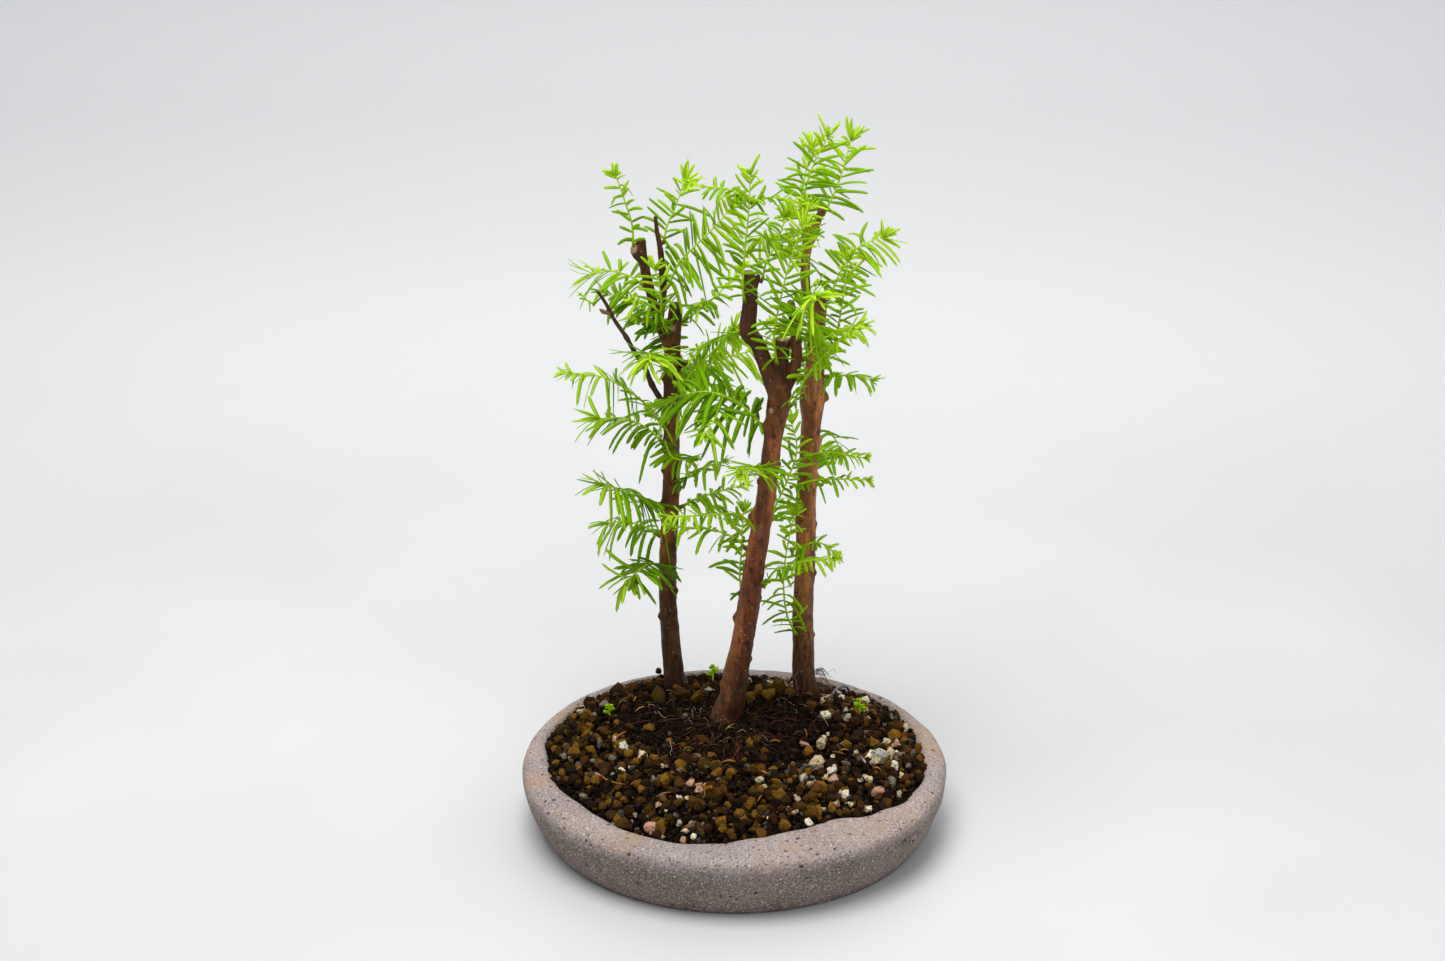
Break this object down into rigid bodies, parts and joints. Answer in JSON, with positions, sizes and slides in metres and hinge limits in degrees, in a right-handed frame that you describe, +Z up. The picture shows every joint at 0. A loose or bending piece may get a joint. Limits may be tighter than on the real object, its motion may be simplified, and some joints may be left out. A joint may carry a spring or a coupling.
{
  "type": "potted bonsai tree",
  "caption": "Small forest bonsai of slim conifer trunks with soft flat-needled shoots, planted in a shallow round hand-pinched stoneware bowl of gritty soil.",
  "frame": {"origin": "centre of the bowl's footprint on the surface that it stands on", "axes": "+Z up along the trunks, front towards -Y, +X to the right"},
  "size_m": [0.24, 0.24, 0.3826],
  "materials": {
    "stoneware": "unglazed matt stoneware, mauve grey with pale speckles and iron spots",
    "soil": "matt gritty bonsai soil of baked clay, pumice and lava granules with dark root mat",
    "bark": "reddish brown bark with fine vertical grain, pale specks and cut ends",
    "dead_wood": "bare dry twig",
    "foliage": "soft fresh green needles, slightly translucent, semi-matt",
    "screen": "black plastic drainage mesh",
    "wire": "weathered blue-grey anodised aluminium wire"
  },
  "bodies": {
    "root": {"pot": "stoneware", "drain_screen_left": "screen", "drain_screen_right": "screen", "trunk_left": "bark", "bare_twig": "dead_wood", "shoot_left_01": "foliage", "shoot_left_02": "foliage", "shoot_left_03": "foliage", "shoot_left_04": "foliage", "shoot_left_05": "foliage", "shoot_left_06": "foliage", "shoot_left_07": "foliage", "shoot_left_08": "foliage", "shoot_left_09": "foliage", "shoot_left_10": "foliage", "shoot_left_11": "foliage", "shoot_left_12": "foliage", "shoot_left_13": "foliage", "shoot_left_14": "foliage", "shoot_left_15": "foliage", "shoot_left_16": "foliage", "shoot_left_17": "foliage", "shoot_left_18": "foliage", "trunk_middle": "bark", "shoot_middle_01": "foliage", "shoot_middle_02": "foliage", "shoot_middle_03": "foliage", "shoot_middle_04": "foliage", "shoot_middle_05": "foliage", "shoot_middle_06": "foliage", "shoot_middle_07": "foliage", "shoot_middle_08": "foliage", "shoot_middle_09": "foliage", "shoot_middle_10": "foliage", "shoot_middle_11": "foliage", "shoot_middle_12": "foliage", "shoot_middle_13": "foliage", "shoot_middle_14": "foliage", "trunk_right": "bark", "shoot_right_01": "foliage", "shoot_right_02": "foliage", "shoot_right_03": "foliage", "shoot_right_04": "foliage", "shoot_right_05": "foliage", "shoot_right_06": "foliage", "shoot_right_07": "foliage", "shoot_right_08": "foliage", "shoot_right_09": "foliage", "shoot_right_10": "foliage", "shoot_right_11": "foliage", "shoot_right_12": "foliage", "shoot_right_13": "foliage", "anchor_wire": "wire", "seedling_back": "foliage", "seedling_left": "foliage", "seedling_right": "foliage", "soil": "soil"}
  },
  "joints": []
}
